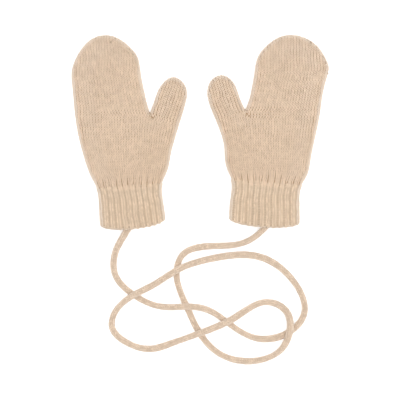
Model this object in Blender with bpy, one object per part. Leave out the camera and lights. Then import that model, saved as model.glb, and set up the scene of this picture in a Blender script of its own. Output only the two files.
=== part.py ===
"""A pair of small child's knitted mittens joined by a cord, laid flat on a surface.

Each mitten is three knitted tubes: a ribbed cuff, a hand (palm and back in one tube,
closed at the fingertips) and a thumb that is picked up at the side of the hand. A round
knitted cord runs in loose loops from inside one cuff to inside the other.

Sizes are in millimetres and become metres when a mesh is made. X runs across the pair
from left to right, Y runs up the mittens towards the fingertips and Z up from the surface
they lie on. The origin is on that surface, under the middle of the two mittens.
"""
import math

import bmesh
import bpy
import numpy as np

MM = 0.001

# The cloth and how two layers of it lie on each other
WALL = 2.4
FOLD_RADIUS = 3.0
CROWN = 1.1
CROWN_REACH = 14.0
SEAM_GAP = 0.3
THUMB_GAP = 0.4

# The ribbed cuff: the rib heights are counted from the plain middle of its wall
RIBS = 24
RIB_HEIGHT = 0.5
RIB_UPPER = (-1.0, 0.7, 1.0, 0.7)
RIB_UNDER = (-1.0, 1.0, 1.0, 1.0)
CUFF_RADIUS = 3.1
CUFF_CROWN = 0.4
CUFF_ROWS = 5

# The cord, and how it lies in a cuff, on the surface and over itself
CORD_DIAMETER = 4.6
CORD_RADIUS = CORD_DIAMETER / 2
CORD_CLEARANCE = 0.3
CORD_REST_HEIGHT = CORD_RADIUS + 0.05
CORD_CUFF_HEIGHT = RIB_HEIGHT + WALL + CORD_CLEARANCE + CORD_RADIUS
CORD_CROSSING_LIFT = CORD_DIAMETER + 0.5
CROSSING_FLAT = 5.0
CROSSING_REACH = 29.0
HEM_CLEAR = 3.0
CUFF_DROP = 20.0
CORD_SPACING = 2.4 * CORD_DIAMETER
BULGE_FLAT = 3.6
BULGE_REACH = 11.0

# The grid of a hand and a thumb. Rows and columns crowd into the folded edges.
FOLD_STEPS = FOLD_RADIUS * (1.0 - np.cos(np.radians([0.0, 30.0, 60.0, 90.0])))
FOLD_SHARE = 0.3
FINGER_COLUMNS = 5
THUMB_COLUMNS = 3
NOTCH_REACH = 14.0
PALM_ROWS = (8.0, 15.0, 24.0, 34.0, 45.0)
FINGER_ROWS = (50.0, 43.0, 36.0, 29.0, 22.5, 17.0, 12.5, 8.8, 5.6)
THUMB_ROWS = (23.0, 17.5, 12.5, 8.8, 5.6)

# Wales of the knit round the wrist: those of the fingers and those of the thumb
FINGER_WALES = 26
THUMB_WALES = 11

# Colours are sRGB, 0 to 255
HAND_COLOUR = (220, 195, 170)
THUMB_COLOUR = (217, 192, 167)
CUFF_COLOUR = (219, 193, 168)
CORD_COLOUR = (214, 187, 160)
YARN_ROUGHNESS = 0.95

# Each mitten's outline as it lies, in two stretches. Columns: the place on the mitten, how
# far out it is from the middle of the pair, and how far up. Out is to the left on the left
# mitten and to the right on the right one.
LEFT_FINGERS = (
    ("hem corner", 73.3, -67.6),
    ("middle of cuff", 74.0, -54.8),
    ("wrist", 75.4, -43.4),
    ("heel of hand", 79.3, -35.3),
    ("side of palm", 85.0, -20.2),
    ("side of palm", 89.8, -1.8),
    ("side at crotch", 92.4, 15.8),
    ("side of fingers", 94.0, 33.4),
    ("side of fingers", 94.5, 43.7),
    ("shoulder of tip", 91.8, 52.9),
    ("shoulder of tip", 86.5, 61.7),
    ("shoulder of tip", 79.0, 68.4),
    ("fingertip", 69.3, 71.0),
    ("shoulder of tip", 60.0, 68.6),
    ("shoulder of tip", 51.3, 62.1),
    ("shoulder of tip", 45.8, 55.1),
    ("inner side", 43.6, 44.5),
    ("inner side", 41.2, 31.2),
    ("inner side", 38.7, 20.2),
    ("crotch", 36.9, 14.1),
)
LEFT_THUMB = (
    ("crotch", 36.9, 14.1),
    ("inner side", 34.0, 21.8),
    ("inner side", 30.6, 30.8),
    ("shoulder of tip", 26.6, 36.5),
    ("thumb tip", 19.6, 40.1),
    ("shoulder of tip", 12.8, 36.7),
    ("outer side", 9.5, 30.1),
    ("outer side", 10.2, 21.7),
    ("root", 14.3, 7.7),
    ("side of palm", 18.1, -4.8),
    ("side of palm", 21.2, -16.5),
    ("side of palm", 23.0, -26.1),
    ("heel of hand", 25.5, -33.1),
    ("wrist", 27.9, -39.7),
    ("middle of cuff", 27.2, -51.1),
    ("hem corner", 25.6, -62.8),
)
RIGHT_FINGERS = (
    ("hem corner", 73.1, -66.0),
    ("middle of cuff", 72.9, -53.3),
    ("wrist", 74.2, -41.2),
    ("heel of hand", 78.2, -33.9),
    ("side of palm", 81.7, -19.5),
    ("side of palm", 85.4, -1.8),
    ("side at crotch", 88.6, 15.1),
    ("side of fingers", 91.0, 30.5),
    ("side of fingers", 93.9, 41.2),
    ("shoulder of tip", 94.8, 47.0),
    ("shoulder of tip", 92.1, 54.5),
    ("shoulder of tip", 86.4, 62.8),
    ("shoulder of tip", 77.6, 68.8),
    ("fingertip", 67.0, 71.2),
    ("shoulder of tip", 56.7, 68.8),
    ("shoulder of tip", 48.3, 62.7),
    ("shoulder of tip", 42.4, 55.1),
    ("inner side", 40.0, 44.5),
    ("inner side", 37.6, 30.5),
    ("inner side", 35.4, 21.7),
    ("crotch", 33.2, 16.4),
)
RIGHT_THUMB = (
    ("crotch", 33.2, 16.4),
    ("inner side", 30.5, 22.1),
    ("inner side", 27.3, 30.9),
    ("shoulder of tip", 23.5, 37.6),
    ("thumb tip", 16.0, 41.5),
    ("shoulder of tip", 8.8, 38.4),
    ("outer side", 5.3, 30.8),
    ("outer side", 6.4, 21.2),
    ("root", 10.8, 9.8),
    ("side of palm", 15.5, -2.3),
    ("side of palm", 17.7, -12.1),
    ("side of palm", 18.5, -23.2),
    ("heel of hand", 21.1, -31.1),
    ("wrist", 23.2, -37.1),
    ("middle of cuff", 22.4, -49.6),
    ("hem corner", 21.4, -62.7),
)
LEFT_HEM_BOW = 5.5
RIGHT_HEM_BOW = 5.2

# The cord's route from the left cuff to the right one. Columns: X, Y and the way it lies
# there: in a cuff, at its hem, on the surface, or over a crossing of itself.
CORD_ROUTE = (
    (-48.8, -62.4, "in cuff"),
    (-51.9, -69.9, "hem"),
    (-61.7, -87.3, "surface"),
    (-62.2, -105.6, "surface"),
    (-48.7, -120.1, "surface"),
    (-31.1, -128.2, "surface"),
    (-9.9, -128.2, "over"),
    (3.8, -130.1, "surface"),
    (19.3, -139.7, "surface"),
    (40.9, -151.9, "surface"),
    (65.3, -147.7, "surface"),
    (76.6, -134.3, "surface"),
    (69.1, -110.4, "surface"),
    (43.2, -92.0, "surface"),
    (9.8, -93.2, "surface"),
    (-17.1, -101.7, "over"),
    (-32.2, -111.4, "surface"),
    (-48.7, -120.0, "over"),
    (-60.7, -130.2, "surface"),
    (-64.8, -143.4, "surface"),
    (-53.2, -155.6, "surface"),
    (-35.4, -159.8, "surface"),
    (-18.0, -154.4, "surface"),
    (-0.6, -147.8, "over"),
    (19.3, -139.7, "over"),
    (34.1, -131.0, "surface"),
    (48.9, -125.5, "surface"),
    (63.3, -132.0, "surface"),
    (65.3, -147.7, "over"),
    (55.9, -163.1, "surface"),
    (36.3, -168.9, "surface"),
    (15.2, -163.9, "surface"),
    (-0.5, -147.8, "surface"),
    (-10.0, -128.2, "surface"),
    (-17.1, -101.6, "surface"),
    (-12.3, -90.2, "surface"),
    (-0.4, -85.1, "surface"),
    (34.2, -80.9, "surface"),
    (48.5, -69.4, "hem"),
    (53.3, -62.7, "in cuff"),
)


def ease(part):
    """0 below 0, 1 above 1 and a soft rise in between."""
    part = min(max(part, 0.0), 1.0)
    return part * part * (3.0 - 2.0 * part)


def smooth_curve(points, step):
    """Points about a step apart on a smooth curve through the given ones, and its length
    up to each given point."""
    knots = np.array(points, dtype=float)
    count = len(knots)
    gaps = np.linalg.norm(np.diff(knots, axis=0), axis=1)
    matrix = np.eye(count)
    pull = np.zeros_like(knots)
    for i in range(1, count - 1):
        before, after = gaps[i - 1], gaps[i]
        matrix[i, i - 1:i + 2] = before, 2.0 * (before + after), after
        pull[i] = 6.0 * ((knots[i + 1] - knots[i]) / after - (knots[i] - knots[i - 1]) / before)
    bend = np.linalg.solve(matrix, pull)
    fine = [knots[0]]
    for i in range(count - 1):
        for b in np.linspace(0.0, 1.0, 41)[1:]:
            a = 1.0 - b
            sway = ((a ** 3 - a) * bend[i] + (b ** 3 - b) * bend[i + 1]) * gaps[i] ** 2 / 6.0
            fine.append(a * knots[i] + b * knots[i + 1] + sway)
    fine = np.array(fine)
    run = np.concatenate(([0.0], np.cumsum(np.linalg.norm(np.diff(fine, axis=0), axis=1))))
    marks = np.linspace(0.0, run[-1], int(round(run[-1] / step)) + 1)
    even = np.column_stack([np.interp(marks, run, fine[:, axis]) for axis in range(2)])
    return even, marks, run[::40]


def crossing(edge, way, level):
    """The point where an edge passes a level, counted along a direction."""
    heights = edge @ way
    order = np.argsort(heights, kind="stable")
    return np.array([np.interp(level, heights[order], edge[order, axis]) for axis in range(2)])


class Outline:
    """A mitten's outline as it lies, with the wall that follows its folded edge."""

    def __init__(self, fingers, thumb):
        finger_edge = smooth_curve([row[1:] for row in fingers], 0.5)[0]
        thumb_edge = smooth_curve([row[1:] for row in thumb], 0.5)[0]
        tip = int(np.argmax(finger_edge[:, 1]))
        self.outer_side = finger_edge[:tip + 1]
        self.inner_side = finger_edge[tip:]
        self.fingertip = finger_edge[tip]
        self.crotch = finger_edge[-1]
        self.root = self.place(thumb, "root")
        across = (self.crotch - self.root) / np.linalg.norm(self.crotch - self.root)
        self.thumb_way = np.array([-across[1], across[0]])
        peak = int(np.argmax(thumb_edge @ self.thumb_way))
        self.thumb_inner = thumb_edge[:peak + 1]
        self.thumb_outer = thumb_edge[peak:]
        self.thumb_tip = thumb_edge[peak]
        self.wrist = {"outer": self.place(fingers, "wrist"), "inner": self.place(thumb, "wrist")}
        self.hem = {"outer": finger_edge[0], "inner": thumb_edge[-1]}
        points = np.vstack([finger_edge, thumb_edge[1:]])
        self.starts = points[:-1]
        self.runs = np.diff(points, axis=0)

    @staticmethod
    def place(table, name):
        """A named point of an outline's table."""
        return np.array([row[1:] for row in table if row[0] == name][0])

    def nearest(self, plan):
        """The nearest point of the outline, how far it is, and the way in from it."""
        reach = np.sum((plan - self.starts) * self.runs, axis=1)
        part = np.clip(reach / np.sum(self.runs ** 2, axis=1), 0.0, 1.0)
        feet = self.starts + self.runs * part[:, None]
        depths = np.linalg.norm(plan - feet, axis=1)
        depth = depths.min()
        if depth > 1e-3:
            foot = feet[int(np.argmin(depths))]
            return foot, depth, (plan - foot) / depth
        ways = self.runs[depths < depth + 1e-3]
        ways = ways / np.linalg.norm(ways, axis=1)[:, None]
        inward = np.array([-ways[:, 1].sum(), ways[:, 0].sum()])
        return plan, 0.0, inward / np.linalg.norm(inward)

    def wall(self, plan, upper):
        """The outer and inner point of one layer of cloth over a point of the plan."""
        foot, depth, inward = self.nearest(plan)
        if depth >= FOLD_RADIUS:
            crown = CROWN * ease((depth - FOLD_RADIUS) / CROWN_REACH)
            outer = 2.0 * FOLD_RADIUS + crown if upper else 0.0
            inner = outer - WALL if upper else WALL
            return (*plan, outer), (*plan, inner)
        turn = math.acos(1.0 - depth / FOLD_RADIUS)
        centre = foot + inward * FOLD_RADIUS
        side = 1.0 if upper else -1.0
        points = []
        for radius in (FOLD_RADIUS, FOLD_RADIUS - WALL):
            flat = centre - inward * radius * math.cos(turn)
            points.append((*flat, FOLD_RADIUS + side * radius * math.sin(turn)))
        return tuple(points)


def spread(start, end, middle, folded):
    """Points from start to end with a folded edge at the start, and one at the end as far
    as folded goes from 0 to 1."""
    length = np.linalg.norm(end - start)
    steps = FOLD_STEPS * min(1.0, FOLD_SHARE * length / FOLD_RADIUS)
    even = np.linspace(steps[-1], length - steps[-1], middle + 1)
    closed = np.concatenate((steps, even[1:-1], length - steps[::-1]))
    loose = np.linspace(steps[-1], length, middle + 4)
    opened = np.concatenate((steps[:-1], loose))
    parts = (folded * closed + (1.0 - folded) * opened) / length
    return [start + (end - start) * part for part in parts]


def wall_body(outline, rows, doubled, rims):
    """Vertices and faces of a closed wall of cloth over rows of plan points.

    doubled(row, column) says whether the upper and the under layer are apart there; each
    rim is the row and the columns of an open end, where the two skins are joined.
    """
    vertices = []
    index = {}
    for skin in (0, 1):
        for i, row in enumerate(rows):
            for k, plan in enumerate(row):
                for upper in (True, False):
                    if upper or doubled(i, k):
                        index[skin, i, k, upper] = len(vertices)
                        vertices.append(outline.wall(plan, upper)[skin])

    def corner(skin, i, k, upper):
        k = min(k, len(rows[i]) - 1)
        return index[skin, i, k, upper or not doubled(i, k)]

    faces = []
    for i in range(len(rows) - 1):
        columns = len(rows[i + 1]) if len(rows[i + 1]) > 1 else len(rows[i])
        for k in range(columns - 1):
            for skin in (0, 1):
                for upper in (True, False):
                    spots = ((i, k), (i, k + 1), (i + 1, k + 1), (i + 1, k))
                    face = [corner(skin, *spot, upper) for spot in spots]
                    faces.append(list(dict.fromkeys(face)))
    for i, first, last in rims:
        loop = [(k, True) for k in range(first, last)]
        loop += [(k, False) for k in range(last, first, -1)]
        for (k, upper), (next_k, next_upper) in zip(loop, loop[1:] + loop[:1]):
            here, there = (i, k, upper), (i, next_k, next_upper)
            faces.append([corner(0, *here), corner(0, *there), corner(1, *there), corner(1, *here)])
    return vertices, faces


def hand(outline):
    """Palm, back and finger bag: one tube, open at the wrist and where the thumb joins."""
    up = np.array([0.0, 1.0])
    wrist_outer, wrist_inner = outline.wrist["outer"], outline.wrist["inner"]
    share = FINGER_WALES / (FINGER_WALES + THUMB_WALES)
    wrist_split = wrist_outer + (wrist_inner - wrist_outer) * share
    drop = outline.crotch[1] - wrist_split[1]
    rows = []
    for below in (drop, *PALM_ROWS[::-1], *FOLD_STEPS[::-1]):
        part = 1.0 - below / drop
        levels = {
            "outer": wrist_outer[1] + (outline.crotch[1] - wrist_outer[1]) * part,
            "inner": wrist_inner[1] + (outline.root[1] - wrist_inner[1]) * part,
        }
        start = crossing(outline.outer_side, up, levels["outer"])
        split = wrist_split + (outline.crotch - wrist_split) * part
        end = crossing(outline.thumb_outer, up, levels["inner"])
        folded = 1.0 - ease(below / NOTCH_REACH)
        row = spread(start, split, FINGER_COLUMNS, folded)
        row += spread(end, split, THUMB_COLUMNS, folded)[-2::-1]
        rows.append(row)
    notch = len(rows) - 1
    fingers = FINGER_COLUMNS + 6
    last = len(rows[0]) - 1
    for below in (*FINGER_ROWS, *FOLD_STEPS[:0:-1]):
        level = outline.fingertip[1] - below
        start = crossing(outline.outer_side, up, level)
        end = crossing(outline.inner_side, up, level)
        rows.append(spread(start, end, FINGER_COLUMNS, 1.0))
    rows.append([outline.fingertip])

    def doubled(i, k):
        return 0 < k < len(rows[i]) - 1 and (i, k) != (notch, fingers)

    return wall_body(outline, rows, doubled, ((0, 0, last), (notch, fingers, last)))


def thumb(outline):
    """The thumb: a tube from its root line, square to its length, to its closed tip."""
    way = outline.thumb_way
    root_level = outline.root @ way + THUMB_GAP
    tip_level = outline.thumb_tip @ way
    rows = []
    for level in (root_level, *(tip_level - np.array((*THUMB_ROWS, *FOLD_STEPS[:0:-1])))):
        start = crossing(outline.thumb_inner, way, level)
        end = crossing(outline.thumb_outer, way, level)
        rows.append(spread(start, end, THUMB_COLUMNS, 1.0))
    rows.append([outline.thumb_tip])

    def doubled(i, k):
        return 0 < k < len(rows[i]) - 1

    last = len(rows[0]) - 1
    vertices, faces = wall_body(outline, rows, doubled, ((0, 0, last),))
    flush = []
    for x, y, z in vertices:
        short = max(root_level - np.array((x, y)) @ way, 0.0)
        flush.append((x + way[0] * short, y + way[1] * short, z))
    return flush, faces


def cuff_loop(width, radius, count):
    """Points evenly round a flat loop of cloth: how far across, how high over its middle,
    and the way out there."""
    flat = width - 2.0 * radius
    quarter = math.pi * radius / 2.0
    half = flat + 2.0 * quarter
    loop = []
    for i in range(count):
        run = 2.0 * half * i / count
        side = 1.0 if run <= half else -1.0
        run = run if run <= half else 2.0 * half - run
        if quarter <= run <= quarter + flat:
            loop.append((radius + run - quarter, side * radius, 0.0, side))
            continue
        left = run < quarter
        turn = (run if left else half - run) / radius
        across = radius * (1.0 - math.cos(turn))
        across = across if left else width - across
        out = -math.cos(turn) if left else math.cos(turn)
        loop.append((across, side * radius * math.sin(turn), out, side * math.sin(turn)))
    return loop


def over_cord(plan, cord_end, cord_hem):
    """How far the upper layer of a cuff is lifted over the cord's end, from 0 to 1."""
    run = cord_hem - cord_end
    part = min(max((plan - cord_end) @ run / (run @ run), 0.0), 2.0)
    apart = np.linalg.norm(plan - cord_end - run * part)
    return 1.0 - ease((apart - BULGE_FLAT) / (BULGE_REACH - BULGE_FLAT))


def cuff(outline, hem_bow, cord_end, cord_hem):
    """A cuff: a tube of rib from the wrist to the hem, its ribs on the outer skin only."""
    up = np.array([0.0, 1.0])
    count = RIBS * len(RIB_UPPER)
    middle = RIB_HEIGHT + CUFF_RADIUS
    lifted = CORD_CUFF_HEIGHT + CORD_RADIUS + CORD_CLEARANCE + WALL
    tops = {key: point[1] - SEAM_GAP for key, point in outline.wrist.items()}
    vertices = []
    for row in range(CUFF_ROWS + 1):
        part = row / CUFF_ROWS
        level = {key: tops[key] + (outline.hem[key][1] - tops[key]) * part for key in tops}
        start = crossing(outline.outer_side, up, level["outer"])
        end = crossing(outline.thumb_outer, up, level["inner"])
        width = np.linalg.norm(end - start)
        for skin, depth in (("outer", 0.0), ("inner", WALL)):
            for i, (across, high, out, rise) in enumerate(cuff_loop(width, CUFF_RADIUS, count)):
                upper = high > 0.0
                profile = RIB_UPPER if high > -CUFF_RADIUS * 0.9 else RIB_UNDER
                rib = RIB_HEIGHT * profile[i % len(profile)] if skin == "outer" else 0.0
                crown = CUFF_CROWN * ease((min(across, width - across) - CUFF_RADIUS) / CROWN_REACH)
                across += out * (rib - depth)
                share = min(max(across / width, 0.0), 1.0)
                plan = start + (end - start) * across / width
                plan[1] -= hem_bow * part * math.sqrt(1.0 - (2.0 * share - 1.0) ** 2)
                height = middle + high + rise * (rib - depth)
                if upper:
                    height += crown * rise
                    lift = over_cord(plan, cord_end, cord_hem) * rise
                    height += lift * (lifted + rib - depth - height)
                vertices.append((*plan, height))
    faces = []
    for row in range(CUFF_ROWS):
        for skin in (0, 1):
            near, far = (2 * row + skin) * count, (2 * row + 2 + skin) * count
            for i in range(count):
                j = (i + 1) % count
                faces.append([near + i, near + j, far + j, far + i])
    for row in (0, CUFF_ROWS):
        outer, inner = 2 * row * count, (2 * row + 1) * count
        for i in range(count):
            j = (i + 1) % count
            faces.append([outer + i, outer + j, inner + j, inner + i])
    return vertices, faces


def cord_points():
    """The cord's middle line: a smooth curve through its route, as high as it lies."""
    plan, marks, given = smooth_curve([row[:2] for row in CORD_ROUTE], CORD_SPACING)
    crossings = [run for run, row in zip(given, CORD_ROUTE) if row[2] == "over"]
    hems = [run for run, row in zip(given, CORD_ROUTE) if row[2] == "hem"]
    points = []
    for (x, y), mark in zip(plan, marks):
        inside = max(hems[0] - mark, mark - hems[1]) + HEM_CLEAR
        fall = ease(1.0 + inside / CUFF_DROP)
        down = 1.0
        for run in crossings:
            away = (abs(mark - run) - CROSSING_FLAT) / (CROSSING_REACH - CROSSING_FLAT)
            down *= ease(away)
        height = CORD_REST_HEIGHT + fall * (CORD_CUFF_HEIGHT - CORD_REST_HEIGHT)
        points.append((x, y, height + (1.0 - down) * CORD_CROSSING_LIFT))
    return points


def yarn(name, colour):
    """A plain matte yarn material in its own colour."""
    material = bpy.data.materials.new(name)
    material.use_nodes = True
    shader = material.node_tree.nodes["Principled BSDF"]
    linear = [((c / 255 + 0.055) / 1.055) ** 2.4 for c in colour]
    shader.inputs["Base Color"].default_value = (*linear, 1.0)
    shader.inputs["Roughness"].default_value = YARN_ROUGHNESS
    shader.inputs["Metallic"].default_value = 0.0
    return material


def add_body(name, body, side, material):
    """A named object from a body's points, mirrored to its side of the pair."""
    vertices, faces = body
    mesh = bpy.data.meshes.new(name)
    points = [(side * x * MM, y * MM, z * MM) for x, y, z in vertices]
    mesh.from_pydata(points, [], faces)
    shape = bmesh.new()
    shape.from_mesh(mesh)
    bmesh.ops.recalc_face_normals(shape, faces=shape.faces)
    shape.to_mesh(mesh)
    shape.free()
    mesh.shade_smooth()
    mesh.set_sharp_from_angle(angle=math.radians(50.0))
    mesh.materials.append(material)
    item = bpy.data.objects.new(name, mesh)
    bpy.context.collection.objects.link(item)
    return item


def add_cord(name, material):
    """The cord: a round tube along its middle line, closed at both ends."""
    curve = bpy.data.curves.new(name, "CURVE")
    curve.dimensions = "3D"
    curve.bevel_depth = CORD_RADIUS * MM
    curve.bevel_resolution = 2
    curve.use_fill_caps = True
    route = cord_points()
    spline = curve.splines.new("POLY")
    spline.points.add(len(route) - 1)
    for point, place in zip(spline.points, route):
        point.co = (*[value * MM for value in place], 1.0)
    curve.materials.append(material)
    item = bpy.data.objects.new(name, curve)
    bpy.context.collection.objects.link(item)
    return item


def add_mitten(label, side, fingers, thumb_edge, hem_bow, cord_end, cord_hem):
    """The three pieces of one mitten."""
    outline = Outline(fingers, thumb_edge)
    add_body(label + "_hand", hand(outline), side, yarn(label + "_hand_yarn", HAND_COLOUR))
    add_body(label + "_thumb", thumb(outline), side, yarn(label + "_thumb_yarn", THUMB_COLOUR))
    end, hem = (np.array([side * spot[0], spot[1]]) for spot in (cord_end, cord_hem))
    body = cuff(outline, hem_bow, end, hem)
    add_body(label + "_cuff", body, side, yarn(label + "_cuff_yarn", CUFF_COLOUR))


for old in list(bpy.data.objects):
    bpy.data.objects.remove(old, do_unlink=True)
add_mitten("left", -1, LEFT_FINGERS, LEFT_THUMB, LEFT_HEM_BOW, CORD_ROUTE[0], CORD_ROUTE[1])
add_mitten("right", 1, RIGHT_FINGERS, RIGHT_THUMB, RIGHT_HEM_BOW, CORD_ROUTE[-1], CORD_ROUTE[-2])
add_cord("cord", yarn("cord_yarn", CORD_COLOUR))
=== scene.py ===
"""A pair of small child's knitted mittens joined by a cord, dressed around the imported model.

Sizes are in metres. X runs across the pair from left to right, Y runs up the mittens towards
the fingertips and Z up from the table they lie on. Places on a mitten are given as how far
out from the middle of the pair and how far up, on the left and the right mitten alike.
"""

import math

import bmesh
import bpy
import numpy as np
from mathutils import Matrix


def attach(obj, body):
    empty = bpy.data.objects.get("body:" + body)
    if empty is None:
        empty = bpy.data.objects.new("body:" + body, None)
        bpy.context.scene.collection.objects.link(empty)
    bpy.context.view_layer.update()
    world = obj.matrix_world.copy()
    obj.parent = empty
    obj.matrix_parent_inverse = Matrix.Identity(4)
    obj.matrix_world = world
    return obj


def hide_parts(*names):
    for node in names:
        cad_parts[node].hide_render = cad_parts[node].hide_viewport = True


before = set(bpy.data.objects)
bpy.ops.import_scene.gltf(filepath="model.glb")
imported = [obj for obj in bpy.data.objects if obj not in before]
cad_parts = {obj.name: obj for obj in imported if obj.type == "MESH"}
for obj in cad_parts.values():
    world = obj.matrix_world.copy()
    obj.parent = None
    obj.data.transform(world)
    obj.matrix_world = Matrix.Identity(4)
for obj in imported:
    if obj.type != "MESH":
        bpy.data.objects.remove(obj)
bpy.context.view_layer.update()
scene = bpy.context.scene


# The view: the mittens lie flat on a white table in a white room, under one wide soft lamp,
# and the camera looks straight down on them.
VIEW_MIDDLE = (0.0, -0.05035)
VIEW_WIDTH = 0.294
VIEW_LEVEL = 0.003
CAMERA_LENS = 85.0
CAMERA_SENSOR = 36.0
camera_data = bpy.data.cameras.new("camera")
camera_data.lens = CAMERA_LENS
camera_data.sensor_width = CAMERA_SENSOR
camera = bpy.data.objects.new("camera", camera_data)
view_distance = VIEW_WIDTH * CAMERA_LENS / CAMERA_SENSOR
camera.location = (*VIEW_MIDDLE, VIEW_LEVEL + view_distance)
scene.collection.objects.link(camera)
scene.camera = camera
scene.view_settings.view_transform = "Standard"

ROOM_LIGHT = 0.745
WHITE = (1.0, 1.0, 1.0, 1.0)
room = bpy.data.worlds.new("white_room")
room.use_nodes = True
room_shader = room.node_tree.nodes["Background"]
room_shader.inputs["Color"].default_value = WHITE
room_shader.inputs["Strength"].default_value = ROOM_LIGHT
scene.world = room

LAMP_SIZE = 0.9
LAMP_POWER = 8.3
LAMP_PLACE = (0.14, 0.02, 1.17)
LAMP_TURN = (-3.5, 6.8, 0.0)
lamp_data = bpy.data.lights.new("soft_lamp", "AREA")
lamp_data.shape = "DISK"
lamp_data.size = LAMP_SIZE
lamp_data.energy = LAMP_POWER
lamp = bpy.data.objects.new("soft_lamp", lamp_data)
lamp.location = LAMP_PLACE
lamp.rotation_euler = [math.radians(turn) for turn in LAMP_TURN]
scene.collection.objects.link(lamp)

# The table glows a little, so that it comes out as white as the photo's ground.
TABLE_HALF = 1.5
TABLE_DROP = 0.0001
TABLE_COLOUR = (0.92, 0.92, 0.92, 1.0)
TABLE_GLOW = 0.35
table_mesh = bpy.data.meshes.new("table")
corners = ((-1, -1), (1, -1), (1, 1), (-1, 1))
table_points = [(x * TABLE_HALF, y * TABLE_HALF, -TABLE_DROP) for x, y in corners]
table_mesh.from_pydata(table_points, [], [(0, 1, 2, 3)])
table_paint = bpy.data.materials.new("table_white")
table_paint.use_nodes = True
table_shader = table_paint.node_tree.nodes["Principled BSDF"]
table_shader.inputs["Base Color"].default_value = TABLE_COLOUR
table_shader.inputs["Roughness"].default_value = 1.0
table_shader.inputs["Emission Color"].default_value = WHITE
table_shader.inputs["Emission Strength"].default_value = TABLE_GLOW
table_mesh.materials.append(table_paint)
table = bpy.data.objects.new("table", table_mesh)
scene.collection.objects.link(table)


# The cord: one round tube of stocking stitch in the mittens' own yarn, six wales round. It
# runs in loose loops from inside the left cuff to inside the right one, and is tacked there.
CORD_DIAMETER = 0.0046
CORD_RADIUS = CORD_DIAMETER / 2
CORD_REST_HEIGHT = CORD_RADIUS + 0.00005
CORD_CUFF_HEIGHT = 0.0055
CORD_CROSSING_LIFT = CORD_DIAMETER + 0.0005
CROSSING_FLAT = 0.005
CROSSING_REACH = 0.029
HEM_CLEAR = 0.003
CUFF_DROP = 0.020
CORD_WALES = 6
CORD_COURSE = 0.0017
CORD_TWIST = 0.110
CORD_SINK = 0.00035
CORD_UNEVENNESS = 0.12
CORD_SWELLS = 40
CORD_SEED = 5
CORD_FLAT = 0.0006
CORE_SIDES = 8
CURVE_PARTS = 40
CORD_ROUTE = (
    (-0.0488, -0.0624, "in cuff"),
    (-0.0519, -0.0699, "hem"),
    (-0.0617, -0.0873, "surface"),
    (-0.0622, -0.1056, "surface"),
    (-0.0487, -0.1201, "surface"),
    (-0.0311, -0.1282, "surface"),
    (-0.0099, -0.1282, "over"),
    (0.0038, -0.1301, "surface"),
    (0.0193, -0.1397, "surface"),
    (0.0409, -0.1519, "surface"),
    (0.0653, -0.1477, "surface"),
    (0.0766, -0.1343, "surface"),
    (0.0691, -0.1104, "surface"),
    (0.0432, -0.0920, "surface"),
    (0.0098, -0.0932, "surface"),
    (-0.0171, -0.1017, "over"),
    (-0.0322, -0.1114, "surface"),
    (-0.0487, -0.1200, "over"),
    (-0.0607, -0.1302, "surface"),
    (-0.0648, -0.1434, "surface"),
    (-0.0532, -0.1556, "surface"),
    (-0.0354, -0.1598, "surface"),
    (-0.0180, -0.1544, "surface"),
    (-0.0006, -0.1478, "over"),
    (0.0193, -0.1397, "over"),
    (0.0341, -0.1310, "surface"),
    (0.0489, -0.1255, "surface"),
    (0.0633, -0.1320, "surface"),
    (0.0653, -0.1477, "over"),
    (0.0559, -0.1631, "surface"),
    (0.0363, -0.1689, "surface"),
    (0.0152, -0.1639, "surface"),
    (-0.0005, -0.1478, "surface"),
    (-0.0100, -0.1282, "surface"),
    (-0.0171, -0.1016, "surface"),
    (-0.0123, -0.0902, "surface"),
    (-0.0004, -0.0851, "surface"),
    (0.0342, -0.0809, "surface"),
    (0.0485, -0.0694, "hem"),
    (0.0533, -0.0627, "in cuff"),
)
CORD_ENDS = {"left": CORD_ROUTE[:2], "right": CORD_ROUTE[:-3:-1]}


def ease(part):
    """0 below 0, 1 above 1 and a soft rise in between."""
    part = np.clip(part, 0.0, 1.0)
    return part * part * (3.0 - 2.0 * part)


def smooth_curve(points, step):
    """Points about a step apart on a smooth curve through the given ones, how far along it
    each one is, and how far along it the given ones are."""
    knots = np.array(points, dtype=float)
    count = len(knots)
    gaps = np.linalg.norm(np.diff(knots, axis=0), axis=1)
    matrix = np.eye(count)
    pull = np.zeros_like(knots)
    for i in range(1, count - 1):
        before, after = gaps[i - 1], gaps[i]
        matrix[i, i - 1:i + 2] = before, 2.0 * (before + after), after
        pull[i] = 6.0 * ((knots[i + 1] - knots[i]) / after - (knots[i] - knots[i - 1]) / before)
    bend = np.linalg.solve(matrix, pull)
    fine = [knots[0]]
    for i in range(count - 1):
        for b in np.linspace(0.0, 1.0, CURVE_PARTS + 1)[1:]:
            a = 1.0 - b
            sway = ((a ** 3 - a) * bend[i] + (b ** 3 - b) * bend[i + 1]) * gaps[i] ** 2 / 6.0
            fine.append(a * knots[i] + b * knots[i + 1] + sway)
    run = run_along(fine)
    marks = np.linspace(0.0, run[-1], int(round(run[-1] / step)) + 1)
    return points_at(marks, run, fine), marks, run[::CURVE_PARTS]


def run_along(points):
    """How far it is along a line of points to each of them."""
    steps = np.linalg.norm(np.diff(np.array(points), axis=0), axis=1)
    return np.concatenate(([0.0], np.cumsum(steps)))


def points_at(marks, run, points):
    """The points of a line that lie the given distances along it."""
    points = np.array(points)
    return np.column_stack([np.interp(marks, run, values) for values in points.T])


def unit(vectors):
    """Vectors of the same directions and of length 1."""
    return vectors / np.maximum(np.linalg.norm(vectors, axis=-1, keepdims=True), 1e-12)


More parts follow.
